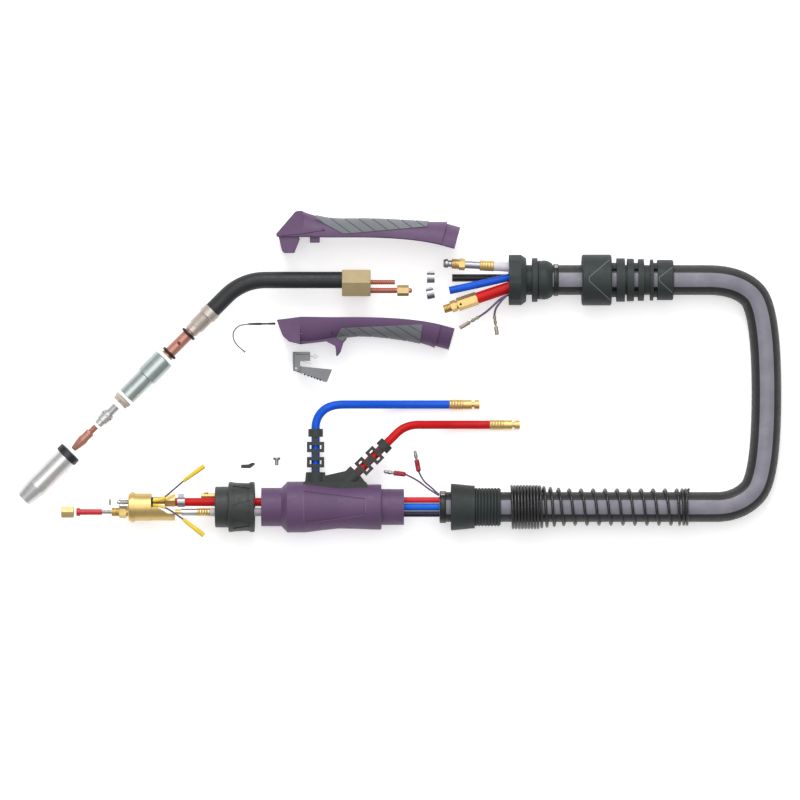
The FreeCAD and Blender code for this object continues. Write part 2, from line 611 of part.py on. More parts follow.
def make_housing():
    """The purple housing over the connector's rear, with recessed side panels."""
    outer = turned(housing_outline(0), [], Vector(), ALONG)
    x0, x1, x2, x3, x4 = HOUSING_X
    inner = [(x0 - 1, 16.6), (x1 + 1, 16.6), (x2 + 2, 22.4), (174, 22.4), (207, 18.8),
             (240, 19.6), (x3 - 3, 19.6), (x3 - 2.9, 15.6), (x4 + 1, 15.6)]
    housing = outer.cut(turned(inner, [], Vector(), ALONG))
    skin = outer.cut(turned(housing_outline(1.1), [], Vector(), ALONG))
    for side in (-1, 1):
        panel = plate([(174, 16.2), (233, 8.8), (234.4, 7.4), (234.4, -7.6), (233, -9),
                       (176, -16.4), (173.6, -14.4), (173.6, 14.8)], 0, side * 30)
        housing = housing.cut(skin.common(panel))
    ports = [Part.makeCylinder(HOSE_RADIUS + 0.3, 12, Vector(184.6, 16, 0), Vector(0, 1, 0)),
             Part.makeCylinder(2.1, 8, Vector(145.7, 13, 0), Vector(0, 1, 0))]
    add("housing", housing.cut(Part.makeCompound(ports)))


def ladder(length, cap, rings):
    """A bend relief drawn along X over a hose: open frames joined by two strips."""
    strips = [block(0, length, -2.6, 2.6, low, low + 1.8) for low in (-6.2, 4.4)]
    end = turned([(length - cap, 7.4), (length - 0.8, 7.4), (length, 6.8)],
                 [(length - cap, 4.3), (length, 4.3)], Vector(), ALONG)
    frames = fused(*strips, *[block(c - 5.2, c + 5.2, -8.6, 8.6, -6.2, 6.2) for c in rings], end)
    for c in rings:
        frames = frames.cut(block(c - 1.9, c + 1.9, -5.9, 5.9, -7, 7))
    return frames


def make_boot():
    """The rubber boot where the two water hoses leave the housing."""
    web = plate([(173, 16.5), (174.4, 28), (174.9, 34.4), (194.3, 34.4), (194.3, 31.5),
                 (214.3, 36), (219.4, 41), (229.3, 31.4), (235.4, 23.4), (235.6, 16.5)], -6.4, 6.4)
    rim = plate([(171.4, 16.5), (171.8, 23.6), (173.2, 25.4), (234.2, 25.4), (236.4, 23.2),
                 (236.6, 16.5)], -10.4, 10.4)
    lean = Vector(1, 1, 0).normalize()
    humps = [rod(Vector(184.6, 17, 0), Vector(184.6, 34.8, 0), 9.6),
             rod(Vector(213, 21.2, 0), Vector(225.4, 33.6, 0), 8.4)]
    saddle = turned([(x, r + 0.05) for x, r in housing_outline(0)], [], Vector(), ALONG)
    left = placed(ladder(43.4, 8, (10, 25.2)), Vector(184.6, 34.8, 0), Vector(0, 1, 0))
    right = placed(ladder(42.4, 8, (9.6, 24.8)), Vector(226.6, 34.6, 0) - lean * 0.6, lean)
    boot = fused(fused(web, rim, *humps).cut(saddle), left, right)
    for route in (BLUE_ROUTE, RED_ROUTE):
        boot = boot.cut(hose(route, HOSE_RADIUS + 0.05))
        boot = boot.cut(rod(Vector(*route[0]) - Vector(0, 10, 0), Vector(*route[0]), 5))
    add("hose_boot", boot)


def make_water_hoses():
    """The two water hoses with their quick plugs, drooping to the surface."""
    add("blue_water_hose", hose(BLUE_ROUTE, HOSE_RADIUS, "blue_water_hose"))
    add("red_water_hose", hose(RED_ROUTE, HOSE_RADIUS, "red_water_hose"))
    plugs = []
    for route in (BLUE_ROUTE, RED_ROUTE):
        outer = grooved(0.05, 14, PLUG_RADIUS, 4.8, 2.8) + [(14.2, 4.2), (14.8, 4.2)]
        outer += [(14.8, 4.7), (22.4, 4.7), (22.5, 2.6), (25, 2.6), (25, 4.5), (30.1, 4.5)]
        plugs.append(turned(outer, [(0.05, 1.6), (30.1, 1.6)], Vector(*route[-1]), ALONG))
    add("water_plugs", *plugs)


def make_small_parts():
    """The housing screw and the lock lug above the connector nut."""
    screw = turned([(0, 3.8), (2.0, 3.8), (2.6, 3.2), (2.6, 1.9), (7.6, 1.9), (8, 1.5)], [],
                   Vector(145.7, 49.6, 0), Vector(0, -1, 0))
    slot = block(141, 150, 48.7, 50, -0.5, 0.5)
    add("housing_screw", screw.cut(slot))
    add("lock_lug", plate([(110, 38.9), (110.2, 42.4), (117.4, 42.6), (120.6, 44.3),
                           (123.6, 44.3), (123.9, 42.4), (119.2, 38.7)], -3, 3))


def make_nut():
    """The connector's hand nut and the ring that holds it on."""
    x0, x1, x2 = NUT_X
    outer = [(x0, 19.8), (x0 + 0.8, 20.5), (x1, 20.5), (x1, 24.4), (x1 + 1, 25.15),
             (x1 + 8, 24.5), (x2 - 8, 24.5), (x2 - 4, 25.15), (x2 - 0.6, 25.15), (x2, 24.5)]
    inner = [(x0, 16.6), (x1 + 0.6, 16.6), (x1 + 0.6, 19.6), (x2, 19.6)]
    nut = turned(outer, inner, Vector(), ALONG)
    skin = turned([(x1, 27), (x2, 27)], [(x1, 23.9), (x2, 23.9)], Vector(), ALONG)
    recesses = []
    for i in range(NUT_PADS):
        narrow, wide = (2.5, 7) if i % 2 else (7, 2.5)
        pad = plate([(x1 + 5, -wide), (x2 - 5, -narrow), (x2 - 5, narrow), (x1 + 5, wide)], 10, 30)
        pad.rotate(Vector(), ALONG, 360 / NUT_PADS * i)
        recesses.append(pad.common(skin))
    add("connector_nut", nut.cut(Part.makeCompound(recesses)))
    add("nut_retainer", turned([(x1 + 1, 19.5), (x1 + 4, 19.5)], [(x1 + 1, 17.4), (x1 + 4, 17.4)],
                               Vector(), ALONG))


def make_connector():
    """The brass central connector with its pins, wire nipple and rear hoses."""
    barrel = turned([(-2.3, 13), (-1.6, BARREL_RADIUS), (0, BARREL_RADIUS),
                     (0, FLANGE_RADIUS), (3.4, FLANGE_RADIUS), (3.4, BARREL_RADIUS),
                     (20.2, BARREL_RADIUS), (20.9, 13.2)], [], Vector(), ALONG)
    shelf = Part.makeCylinder(BARREL_RADIUS - 0.2, 23.2, ALONG * 20.7, ALONG)
    shelf = shelf.common(plate([(20.6, 0.2), (25, 0.2), (37, -6.6), (43.9, -6.6),
                                (43.9, -15), (20.6, -15)], -15, 15))
    stem = Part.makeCylinder(3.6, 13, Vector(20.8, 6.6, 0), ALONG)
    way = Part.makeCylinder(3.1, 60, Vector(-10, LINER_Y, 0), ALONG)
    body = fused(barrel, shelf, stem).cut(way)

    line = Vector(0, LINER_Y, 0)
    thread = turned(grooved(-19.4, -11.7, 4.55, 4.1, 1.4), [(-19.4, 3.1), (-11.7, 3.1)],
                    line, ALONG)
    shoulder = prism(6, 10.6, -11.7, -4.4, 3.1, line, ALONG)
    seat = turned([(-4.4, 4.6), (-2.3, 4.6)], [(-4.4, 3.1), (-2.3, 3.1)], line, ALONG)
    add("connector_body", fused(body, thread, shoulder, seat))

    pins = [turned([(-14, 1.2), (-13, 1.9), (-2.35, 1.9)], [], Vector(0, 4.8, 0), ALONG)]
    for y, z in ((7.2, 5.4), (7.2, -5.4), (1.6, 8.6), (1.6, -8.6)):
        pins.append(turned([(-12, 0.9), (-11.2, 1.5), (-2.35, 1.5)], [], Vector(0, y, z), ALONG))
    add("contact_pins", *pins)
    ring = Part.makeTorus(2.75, 0.65, Vector(-21, 4.8, 0), ALONG)
    add("gas_o_ring", ring)

    liner_nut = prism(6, 11.2, -69.7, -57.1, 3.1, line, ALONG, math.pi / 6)
    add("liner_nut", liner_nut.cut(Part.makeCylinder(4.75, 10.6, Vector(-67.7, LINER_Y, 0),
                                                     ALONG)))
    head = turned([(-54.6, 3.7), (-54, 4.05), (-51, 4.05), (-51, 2.95), (-29.1, 2.95)],
                  [(-54.6, 0.9), (-29.1, 0.9)], line, ALONG)
    spiral = turned(grooved(-29.05, -19.4, 2.0, 1.75, 1.0), [(-29.05, 0.9), (-19.4, 0.9)],
                    line, ALONG)
    add("wire_liner", head, spiral)


def make_connector_hoses():
    """The power hose, gas pipe and switch leads behind the connector."""
    power = Vector(0, POWER_Y, 0)
    hexagon = prism(6, 12.2, 33.8, 44.3, 0, Vector(0, 6.6, 0), ALONG, math.pi / 6)
    tee = fused(turned([(70, 2.4), (84, 2.4)], [], Vector(0, 11.2, -4), ALONG),
                rod(Vector(75, 11.2, -4), Vector(75, 14.6, -4), 2.2))
    nipple = turned([(43.95, 2.5), (50.4, 2.5)], [(43.95, 1.2), (50.4, 1.2)],
                    Vector(0, LINER_Y, 0), ALONG)
    add("connector_fittings", hexagon, tee, nipple)
    add("power_lead", rod(Vector(44.4, POWER_Y, 0), Vector(134, POWER_Y, 0), 4.15))
    add("power_clamp", ear_clamp(46.4, 53.8, 4.2, 0.8, 8.2, power, ALONG))

    line = Vector(0, -5.2, 0)
    pipe = turned([(50.5, 3.5), (66, 3.5)], [(50.5, 1.2), (66, 1.2)], line, ALONG)
    crimp = turned(grooved(66.05, 79, 4.0, 3.7, 2.6), [(66.05, 1.2), (79, 1.2)], line, ALONG)
    add("gas_pipe", pipe, crimp)
    add("clear_hose", rod(Vector(79.1, -5.2, 0), Vector(134, -5.2, 0), 4.1))

    leads = []
    for route, tip in ((((21.2, 6.2, 10.5), (31, 7.2, 10.5), (41, 16, 9), (53.1, 26.4, 8)),
                        (73.5, 41.2, 8)),
                       (((21.2, 2.4, 10.8), (31, 1.4, 13), (41, -3.6, 15.6), (53.1, -12.4, 15)),
                        (73, -28.2, 12))):
        leads.append(hose(route, LEAD_RADIUS))
        begin, finish = Vector(*route[-1]), Vector(*tip)
        along = finish - begin
        leads.append(turned([(0.05, 1.9), (along.Length * 0.6, 2.4), (along.Length, 2.4)], [],
                            begin, along.normalize()))
    add("coupler_leads", *leads)


def main():
    make_neck()
    make_neck_front()
    make_consumables()
    make_upper_shell()
    make_lower_shell()
    make_grips()
    make_hook()
    make_switch()
    make_hose_clamps()
    make_gas_tail()
    make_tails()
    make_knuckle()
    make_front_support()
    make_cable()
    make_rear_tails()
    make_rear_collar()
    make_housing()
    make_boot()
    make_water_hoses()
    make_small_parts()
    make_nut()
    make_connector()
    make_connector_hoses()

    os.makedirs("parts", exist_ok=True)
    for name, shape in made.items():
        shape.exportStep(f"parts/{name}.step")
        print(f"{name}: solids {len(shape.Solids)}, valid {shape.isValid()}, "
              f"volume {shape.Volume:.0f}")
    print(len(made), "nodes")


main()
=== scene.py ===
import json
import math

import bmesh
import bpy
from mathutils import Matrix, Vector
from mathutils.bvhtree import BVHTree


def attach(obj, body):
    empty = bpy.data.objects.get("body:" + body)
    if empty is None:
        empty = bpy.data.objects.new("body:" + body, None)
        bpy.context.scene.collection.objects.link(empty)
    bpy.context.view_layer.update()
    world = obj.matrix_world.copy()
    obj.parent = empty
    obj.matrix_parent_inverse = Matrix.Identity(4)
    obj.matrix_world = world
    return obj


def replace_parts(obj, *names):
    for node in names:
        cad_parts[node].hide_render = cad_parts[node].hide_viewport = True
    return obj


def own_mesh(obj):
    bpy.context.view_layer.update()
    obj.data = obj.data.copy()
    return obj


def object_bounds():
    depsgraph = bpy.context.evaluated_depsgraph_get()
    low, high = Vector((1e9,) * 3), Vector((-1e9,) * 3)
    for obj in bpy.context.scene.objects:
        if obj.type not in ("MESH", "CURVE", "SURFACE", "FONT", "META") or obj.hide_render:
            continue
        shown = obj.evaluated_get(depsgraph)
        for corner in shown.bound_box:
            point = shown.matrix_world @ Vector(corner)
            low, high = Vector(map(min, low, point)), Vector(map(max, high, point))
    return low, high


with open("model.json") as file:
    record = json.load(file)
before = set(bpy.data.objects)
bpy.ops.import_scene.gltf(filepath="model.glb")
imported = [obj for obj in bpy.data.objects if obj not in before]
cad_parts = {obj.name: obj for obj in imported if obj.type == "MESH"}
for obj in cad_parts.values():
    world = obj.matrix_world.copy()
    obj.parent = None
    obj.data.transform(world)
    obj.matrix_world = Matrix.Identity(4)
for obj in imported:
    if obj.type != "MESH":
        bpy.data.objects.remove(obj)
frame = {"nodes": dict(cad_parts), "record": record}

# A water-cooled MIG torch, laid out flat and drawn apart.  +X runs from the connector to the
# cable, +Y from the connector's line to the handle's and +Z up from the floor.  Lengths
# below are written in millimetres and turned into metres by MM, except where metres are named.
CAD_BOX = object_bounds()
FLOOR_Z = CAD_BOX[0][2]
MM = 0.001
HANDLE_Y = 227                                  # the line that the handle closes on
NECK_END = Vector((81.5, 197.0, 0.0))           # where the neck's straight front begins
NECK_OUT = Vector((-1.0, -1.0, 0.0)).normalized()
NECK_TURN = math.radians(45)
CABLE_RADIUS = 15
HOSE_RADIUS = 4.25
TAIL_RADIUS = 3.8
SWITCH_WIRE_RADIUS = 1.1
LEAD_RADIUS = 0.9
LEAD_SLEEVE_RADIUS = 1.5
GUARD_WIRE = 1.4                                # radius of the spring guard's wire

scene = bpy.context.scene


# --- colours and materials ---------------------------------------------------------
def rgb(red, green, blue):
    """A linear colour from display values of 0 to 255."""
    def linear(value):
        value /= 255
        return value / 12.92 if value <= 0.04045 else ((value + 0.055) / 1.055) ** 2.4
    return (linear(red), linear(green), linear(blue), 1.0)


NOISE_LOW, NOISE_HIGH = 0.3, 0.7                # the part of a noise's range that shows


class Nodes:
    """A node material under construction."""

    def __init__(self, name):
        self.material = bpy.data.materials.new(name)
        self.material.use_nodes = True
        self.tree = self.material.node_tree
        self.shader = self.tree.nodes["Principled BSDF"]
        self.place = self.node("ShaderNodeTexCoord").outputs["Object"]

    def node(self, kind, **values):
        """A new node with its settings."""
        made = self.tree.nodes.new(kind)
        for key, value in values.items():
            setattr(made, key, value)
        return made

    def link(self, source, target):
        self.tree.links.new(source, target)

    def mapped(self, scale, turn=0.0):
        """Object coordinates turned about Z and stretched."""
        spin = self.node("ShaderNodeMapping")
        spin.inputs["Rotation"].default_value = (0, 0, -turn)
        self.link(self.place, spin.inputs["Vector"])
        stretch = self.node("ShaderNodeMapping")
        stretch.inputs["Scale"].default_value = scale
        self.link(spin.outputs["Vector"], stretch.inputs["Vector"])
        return stretch.outputs["Vector"]

    def noise(self, scale, detail=3.0, vector=None):
        """A noise factor over the object's own coordinates."""
        made = self.node("ShaderNodeTexNoise")
        made.inputs["Scale"].default_value = scale
        made.inputs["Detail"].default_value = detail
        self.link(vector or self.place, made.inputs["Vector"])
        return made.outputs["Fac"]

    def ramp(self, factor, stops):
        """A colour ramp through (place, colour) stops."""
        made = self.node("ShaderNodeValToRGB")
        elements = made.color_ramp.elements
        while len(elements) < len(stops):
            elements.new(0.5)
        for element, (position, colour) in zip(elements, stops):
            element.position = position
            element.color = colour
        self.link(factor, made.inputs["Fac"])
        return made.outputs["Color"]

    def tones(self, factor, low, high):
        """A colour ramp over the part of a noise's range that shows."""
        return self.ramp(factor, [(NOISE_LOW, low), (NOISE_HIGH, high)])

    def spread(self, factor, low, high):
        """A number that follows a noise from low to high."""
        made = self.node("ShaderNodeMapRange")
        made.inputs["From Min"].default_value = NOISE_LOW
        made.inputs["From Max"].default_value = NOISE_HIGH
        made.inputs["To Min"].default_value = low
        made.inputs["To Max"].default_value = high
        self.link(factor, made.inputs["Value"])
        return made.outputs["Result"]

    def mix(self, factor, first, second):
        """Two colours, or colour sockets, mixed by a factor."""
        made = self.node("ShaderNodeMix", data_type="RGBA")
        self.link(factor, made.inputs["Factor"])
        for socket, value in ((made.inputs["A"], first), (made.inputs["B"], second)):
            if isinstance(value, tuple):
                socket.default_value = value
            else:
                self.link(value, socket)
        return made.outputs["Result"]

    def bump(self, height, strength, distance):
        """Fine relief that the shader's normal takes."""
        made = self.node("ShaderNodeBump")
        made.inputs["Strength"].default_value = strength
        made.inputs["Distance"].default_value = distance
        self.link(height, made.inputs["Height"])
        self.link(made.outputs["Normal"], self.shader.inputs["Normal"])

    def colour(self, socket):
        self.link(socket, self.shader.inputs["Base Color"])

    def rough(self, socket):
        self.link(socket, self.shader.inputs["Roughness"])


def shade(colour, factor):
    """A colour made darker or lighter."""
    return tuple(min(1.0, c * factor) for c in colour[:3]) + (1.0,)


def moulded(name, colour, rough, grain=1400.0, relief=0.25, mottle=0.10, sheen=0.0, spec=0.3):
    """Moulded plastic or rubber: a fine eroded grain, slow tone changes and scuffs."""
    m = Nodes(name)
    slow = m.noise(38.0, 4.0)
    m.colour(m.tones(slow, shade(colour, 1 - mottle), shade(colour, 1 + mottle)))
    fine = m.noise(grain, 5.0)
    m.rough(m.spread(m.noise(210.0, 5.0), rough - 0.07, rough + 0.07))
    m.bump(fine, relief, 0.00012)
    m.shader.inputs["Specular IOR Level"].default_value = spec
    if sheen:
        m.shader.inputs["Sheen Weight"].default_value = sheen
        m.shader.inputs["Sheen Roughness"].default_value = 0.4
    return m.material


def machined(name, colour, rough, turn=0.0, rings=5200.0, relief=0.12, tarnish=0.14, metal=1.0):
    """Turned metal: fine tool rings round its axis, with slow tarnish."""
    m = Nodes(name)
    cuts = m.noise(1.0, 4.0, m.mapped((rings, rings / 60, rings / 60), turn))
    slow = m.noise(85.0, 5.0)
    tone = m.ramp(slow, [(0.28, shade(colour, 1 - tarnish)), (0.52, colour),
                         (0.78, shade(colour, 1 + tarnish * 0.7))])
    fine = m.tones(cuts, shade(colour, 0.86), shade(colour, 1.1))
    half = m.noise(300.0, 2.0)
    m.colour(m.mix(half, tone, fine))
    m.rough(m.spread(cuts, rough - 0.06, rough + 0.1))
    m.bump(cuts, relief, 0.00008)
    m.shader.inputs["Metallic"].default_value = metal
    return m.material


def hose_skin(name, colour, rough, coat=0.25):
    """Extruded hose: faint draw lines, small specks and a soft gloss."""
    m = Nodes(name)
    m.colour(m.tones(m.noise(60.0, 4.0), shade(colour, 0.88), shade(colour, 1.08)))
    m.rough(m.spread(m.noise(420.0, 4.0), rough - 0.06, rough + 0.08))
    m.bump(m.noise(900.0, 3.0), 0.12, 0.0001)
    m.shader.inputs["Coat Weight"].default_value = coat
    m.shader.inputs["Coat Roughness"].default_value = 0.3
    m.shader.inputs["Specular IOR Level"].default_value = 0.2
    return m.material


HIGHLIGHT_EDGE = 0.878                             # how far up the skin faces at the edge of the painted highlight


def sheath(name):
    """The main cable's skin: black, with a grey band along its top that is a painted highlight.
    """
    m = Nodes(name)
    normal = m.node("ShaderNodeTexCoord").outputs["Normal"]
    parts = m.node("ShaderNodeSeparateXYZ")
    m.link(normal, parts.inputs["Vector"])
    edge = m.node("ShaderNodeMapRange")
    edge.inputs["From Min"].default_value = HIGHLIGHT_EDGE - 0.006
    edge.inputs["From Max"].default_value = HIGHLIGHT_EDGE + 0.006
    m.link(parts.outputs["Z"], edge.inputs["Value"])
    weave = m.noise(1500.0, 4.0)
    slow = m.noise(45.0, 4.0)
    black = m.tones(slow, rgb(23, 23, 25), rgb(37, 37, 39))
    # painted highlight: grey on the faces that look up, black on the rest
    grey = m.tones(slow, rgb(112, 110, 121), rgb(134, 131, 142))
    m.colour(m.mix(edge.outputs["Result"], black, grey))
    m.rough(m.spread(m.noise(240.0, 4.0), 0.42, 0.6))
    m.bump(weave, 0.3, 0.00015)
    return m.material


def split(m, axis, edges, values):
    """Steps between values along one object axis at the edges, in metres."""
    parts = m.node("ShaderNodeSeparateXYZ")
    m.link(m.place, parts.inputs["Vector"])
    held = values[0]
    for edge, value in zip(edges, values[1:]):
        over = m.node("ShaderNodeMath", operation="GREATER_THAN")
        m.link(parts.outputs[axis], over.inputs[0])
        over.inputs[1].default_value = edge
        held = m.mix(over.outputs["Value"], held, value)
    return held


# Places where one piece changes colour, in metres as the material nodes take them.
HOSE_EDGE = 0.0039                              # where the middle hose meets its neighbours
LINER_EDGE = -0.02907                           # where the liner's red cover ends
PIPE_EDGE = 0.0655                              # where the gas pipe's brass begins


def banded_hoses(name):
    """Three hoses side by side: a dark one, a blue one and a red one."""
    m = Nodes(name)
    slow = m.noise(60.0, 4.0)
    tones = [m.tones(slow, shade(c, 0.85), shade(c, 1.08))
             for c in (rgb(36, 28, 52), rgb(16, 100, 216), rgb(214, 40, 52))]
    m.colour(split(m, "Y", (-HOSE_EDGE, HOSE_EDGE), tones))
    m.rough(m.spread(m.noise(420.0, 4.0), 0.34, 0.48))
    m.bump(m.noise(900.0, 3.0), 0.15, 0.0001)
    m.shader.inputs["Specular IOR Level"].default_value = 0.2
    return m.material


def two_part(name, edge, near, far, metal):
    """A piece of two materials that meet at one place along X, in metres."""
    m = Nodes(name)
    slow = m.noise(120.0, 4.0)
    tones = [m.tones(slow, shade(c, 0.82), shade(c, 1.1)) for c in (near, far)]
    m.colour(split(m, "X", (edge,), tones))
    m.rough(m.spread(m.noise(500.0, 4.0), 0.32, 0.46))
    m.bump(m.noise(1200.0, 3.0), 0.12, 0.00008)
    shine = split(m, "X", (edge,), [(v, v, v, 1.0) for v in metal])
    m.link(shine, m.shader.inputs["Metallic"])
    return m.material


LOOK = {
    "neck_rubber": moulded("neck_rubber", rgb(42, 43, 45), 0.46, 700.0, 0.2, 0.12),
    "copper": machined("copper", rgb(190, 116, 98), 0.44, 0.0, metal=0.8),
    "copper_neck": machined("copper_neck", rgb(187, 134, 120), 0.44, NECK_TURN, metal=0.75),
    "nickel": machined("nickel", rgb(190, 180, 172), 0.42, NECK_TURN, tarnish=0.1, metal=0.75),
    "sleeve_steel": machined("sleeve_steel", rgb(174, 184, 182), 0.34, NECK_TURN, tarnish=0.08,
                             metal=0.85),
    "nozzle_steel": machined("nozzle_steel", rgb(210, 210, 210), 0.34, NECK_TURN, relief=0.2,
                             metal=0.85),
    "dark_steel": machined("dark_steel", rgb(70, 70, 72), 0.4, NECK_TURN),
    "ceramic": moulded("ceramic", rgb(188, 176, 164), 0.55, 900.0, 0.3, 0.07),
    "brass": machined("brass", rgb(206, 182, 128), 0.46, 0.0, metal=0.7),
    "brass_dull": machined("brass_dull", rgb(172, 154, 116), 0.56, 0.0, metal=0.25),
    "brass_bright": machined("brass_bright", rgb(206, 178, 116), 0.42, 0.0, metal=0.85),
    "steel_neck": machined("steel_neck", rgb(198, 198, 199), 0.38, NECK_TURN, metal=0.85),
    "crimp": machined("crimp", rgb(132, 124, 114), 0.36, 0.0, metal=0.85),
    "switch_dark": moulded("switch_dark", rgb(70, 71, 74), 0.55, 1300.0, 0.3, 0.06),
    "steel_dark": machined("steel_dark", rgb(150, 152, 156), 0.3, 0.0, metal=0.85),
    "hook_steel": machined("hook_steel", rgb(112, 121, 121), 0.4, 0.0, metal=0.6),
    "purple": moulded("purple", rgb(95, 70, 103), 0.5, 1500.0, 0.3, 0.06),
    # a lighter purple, the painted highlight along the housing panel's bead
    "purple_bead_highlight": moulded("purple_bead_highlight", rgb(120, 95, 129), 0.42, 1500.0, 0.2, 0.05),
    "purple_dark": moulded("purple_dark", rgb(52, 36, 58), 0.55, 1500.0, 0.3, 0.08),
    "grip_shadow": moulded("grip_shadow", rgb(50, 52, 56), 0.75, 800.0, 0.4, 0.06),
    "slate_light": moulded("slate_light", rgb(104, 112, 112), 0.5, 1100.0, 0.3, 0.08),
    "grip_grey": moulded("grip_grey", rgb(112, 115, 119), 0.72, 800.0, 0.6, 0.08, sheen=0.2),
    "switch_grey": moulded("switch_grey", rgb(126, 127, 130), 0.5, 1300.0, 0.3, 0.06),
    "steel": machined("steel", rgb(182, 184, 187), 0.28, 0.0),
    "seal_black": moulded("seal_black", rgb(30, 33, 31), 0.38, 600.0, 0.15, 0.1),
    "cable_black": sheath("cable_black"),
    "slate": moulded("slate", rgb(43, 49, 49), 0.55, 1100.0, 0.35, 0.1),
    "boot_rubber": moulded("boot_rubber", rgb(53, 59, 57), 0.62, 900.0, 0.45, 0.1),
    "nut_black": moulded("nut_black", rgb(54, 56, 56), 0.48, 1200.0, 0.3, 0.12),
    "spring_black": moulded("spring_black", rgb(30, 31, 32), 0.3, 300.0, 0.05, 0.1, spec=0.6),
    "hose_red": hose_skin("hose_red", rgb(196, 10, 12), 0.5, coat=0.06),
    "hose_blue": hose_skin("hose_blue", rgb(2, 84, 208), 0.5, coat=0.06),
    "hose_black": hose_skin("hose_black", rgb(34, 34, 36), 0.45),
    "hose_clear": hose_skin("hose_clear", rgb(206, 203, 213), 0.35, coat=0.2),
    "lead_violet": hose_skin("lead_violet", rgb(92, 78, 110), 0.45),
    "lead_red": hose_skin("lead_red", rgb(150, 30, 44), 0.42),
    "lead_yellow": hose_skin("lead_yellow", rgb(232, 200, 60), 0.42),
    "rear_hoses": banded_hoses("rear_hoses"),
    "liner_split": two_part("liner_split", LINER_EDGE, rgb(196, 20, 30), rgb(176, 176, 176),
                            (0.0, 0.9)),
    "gas_pipe_split": two_part("gas_pipe_split", PIPE_EDGE, rgb(186, 188, 192),
                               rgb(212, 188, 128), (0.9, 0.85)),
}


def dress(node, look):
    """Give a CAD node its finish."""
    piece = frame["nodes"][node]
    piece.data.materials.clear()
    piece.data.materials.append(LOOK[look])


NODE_LOOKS = {
    "neck_inner_tube": "copper_neck", "contact_tip": "copper_neck", "neck_hook": "hook_steel",
    "tip_adaptor": "steel_neck", "switch_contacts": "steel_dark", "trigger_pin": "steel_dark",
    "hose_clamps": "steel_dark", "housing_screw": "steel_dark", "rear_hoses": "rear_hoses",
    "wire_liner": "liner_split", "gas_pipe": "gas_pipe_split", "power_clamp": "steel_dark",
    "conduit_pipe": "steel_dark",
    "conduit_fittings": "brass_bright", "power_fitting": "brass_bright",
    "water_plugs": "brass_bright", "neck_block": "brass_dull",
    "connector_body": "brass_bright", "connector_fittings": "brass_bright",
}
for part in frame["record"]["subparts"]:
    dress(part["node"], NODE_LOOKS.get(part["node"], part["material_slot"]))


# --- cords -----------------------------------------------------------------------------
def curve_piece(name, points, radius, look, body):
    """A smooth round cord on one spline through the route's points."""
    data = bpy.data.curves.new(name, "CURVE")
    data.dimensions = "3D"
    spline = data.splines.new("NURBS")
    spline.points.add(len(points) - 1)
    for point, place in zip(spline.points, points):
        point.co = (*(Vector(place) * MM), 1.0)
    spline.order_u = 3
    spline.use_endpoint_u = True
    spline.resolution_u = 16
    data.bevel_depth = radius * MM
    data.bevel_resolution = 8
    data.use_fill_caps = True
    data.materials.append(LOOK[look])
    piece = bpy.data.objects.new(name, data)
    scene.collection.objects.link(piece)
    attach(piece, body)
    return piece


# Routes of the cable and the hoses.  The cable's ends are up on the pieces they enter and
# its long middle lies on the floor.  The hoses come down to the floor towards their plugs.
CABLE_LOW_Z = -10.5
PLUG_Z = -20.4
CABLE_ROUTE = [
    (403.2, HANDLE_Y, 0), (546, HANDLE_Y, 0), (608, HANDLE_Y, -5.5), (636, 197, CABLE_LOW_Z),
    (636, 30, CABLE_LOW_Z), (608, 0, -5.5), (562, 0, 0), (308.5, 0, 0),
]
BLUE_ROUTE = [
    (184.6, 29, 0), (184.6, 69.7, 0), (184.6, 89, 0), (198.4, 102.5, 0), (228, 102.5, -5.5),
    (258, 102.5, -16), (288, 102.5, -21), (318.6, 102.5, PLUG_Z),
]
RED_ROUTE = [
    (219.5, 27.5, 0), (256.5, 64.5, 0), (274.2, 82.2, -4), (301, 82.2, -11.5),
    (330, 82.2, -19.5), (359, 82.2, PLUG_Z),
]


def cord_piece(name, points, radius, look, body, node=None):
    """A free cord, standing for its CAD node where that is named."""
    piece = curve_piece(name, points, radius, look, body)
    if node:
        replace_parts(piece, node)
    return piece


# --- mesh pieces ----------------------------------------------------------------------------
def mesh_piece(name, bm, look, body, sharp=35.0):
    """A finished mesh piece with smooth faces and sharp creases."""
    bmesh.ops.recalc_face_normals(bm, faces=bm.faces)
    limit = math.radians(sharp)
    for face in bm.faces:
        face.smooth = True
    for edge in bm.edges:
        if len(edge.link_faces) == 2 and edge.calc_face_angle(0) > limit:
            edge.smooth = False
    mesh = bpy.data.meshes.new(name)
    bm.to_mesh(mesh)
    bm.free()
    mesh.materials.append(LOOK[look])
    piece = bpy.data.objects.new(name, mesh)
    scene.collection.objects.link(piece)
    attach(piece, body)
    return piece


def frame_of(origin, direction):
    """Placement with local X along the direction, Z as near up as can be, in metres."""
    along = Vector(direction).normalized()
    across = Vector((0, 0, 1)).cross(along).normalized()
    up = along.cross(across)
    turn = Matrix((along, across, up)).transposed().to_4x4()
    return Matrix.Translation(Vector(origin) * MM) @ turn


def ringed(bm, sections, place, sides=40, power=1.0, hollow=False):
    """Closed skin through sections of (distance, half width, half height)."""
    rings = []
    for distance, wide, high in sections:
        ring = []
        for i in range(sides):
            angle = 2 * math.pi * i / sides
            c, s = math.cos(angle), math.sin(angle)
            y = math.copysign(abs(c) ** power, c) * wide
            z = math.copysign(abs(s) ** power, s) * high
            ring.append(bm.verts.new(place @ (Vector((distance, y, z)) * MM)))
        rings.append(ring)
    pairs = list(zip(rings, rings[1:])) + ([(rings[-1], rings[0])] if hollow else [])
    for low, high in pairs:
        for i in range(sides):
            j = (i + 1) % sides
            bm.faces.new((low[i], low[j], high[j], high[i]))
    if not hollow:
        bm.faces.new(rings[0])
        bm.faces.new(rings[-1])


def lathe(bm, profile, origin, direction, sides=40, hollow=False):
    """Closed turned skin through (distance, radius) points, a ring where it is hollow."""
    ringed(bm, [(d, r, r) for d, r in profile], frame_of(origin, direction), sides,
           hollow=hollow)


